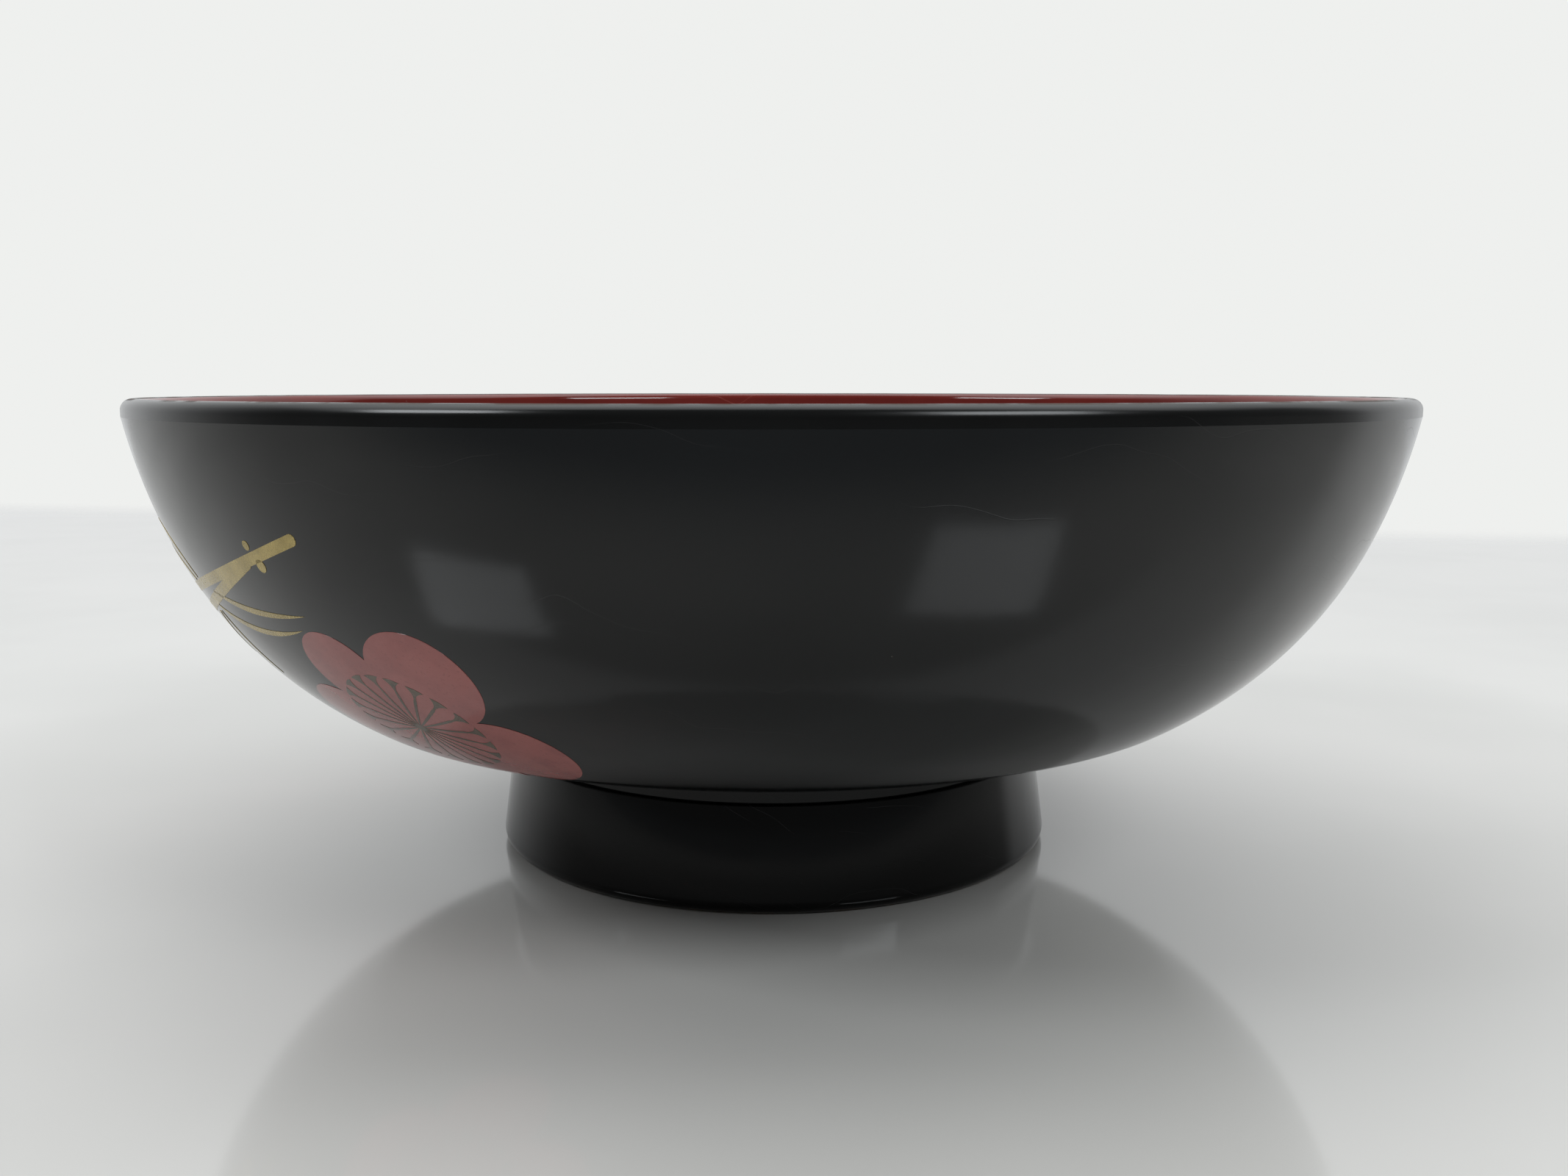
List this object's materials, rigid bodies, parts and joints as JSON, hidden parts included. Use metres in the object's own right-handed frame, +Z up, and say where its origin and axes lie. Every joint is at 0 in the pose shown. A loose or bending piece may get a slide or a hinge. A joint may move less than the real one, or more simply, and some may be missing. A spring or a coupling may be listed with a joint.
{
  "type": "footed bowl",
  "caption": "Wide round serving bowl on a tall foot ring, black outside and red inside, with a plum blossom, twig and needle motif.",
  "frame": {"origin": "under the centre of the foot ring, on the surface that the bowl stands on", "axes": "+Z up along the bowl's axis; -Y is the front, with the plum blossom to the front left at -X"},
  "size_m": [0.24, 0.24, 0.0885],
  "materials": {
    "turned_wood": "bare turned wood under the lacquer",
    "black_lacquer": "polished black lacquer",
    "red_lacquer": "polished deep red lacquer",
    "rose_paint": "satin rose-red paint",
    "brown_paint": "satin brown paint",
    "gold_paint": "gold powder paint"
  },
  "bodies": {
    "root": {"bowl_core": "turned_wood", "foot_ring_core": "turned_wood", "outer_black_coat": "black_lacquer", "lip_black_coat": "black_lacquer", "inner_red_coat": "red_lacquer", "foot_black_coat": "black_lacquer", "base_black_coat": "black_lacquer", "plum_petals": "rose_paint", "plum_stamens": "brown_paint", "gold_twig": "gold_paint", "gold_needles": "gold_paint", "gold_dots": "gold_paint"}
  },
  "joints": []
}
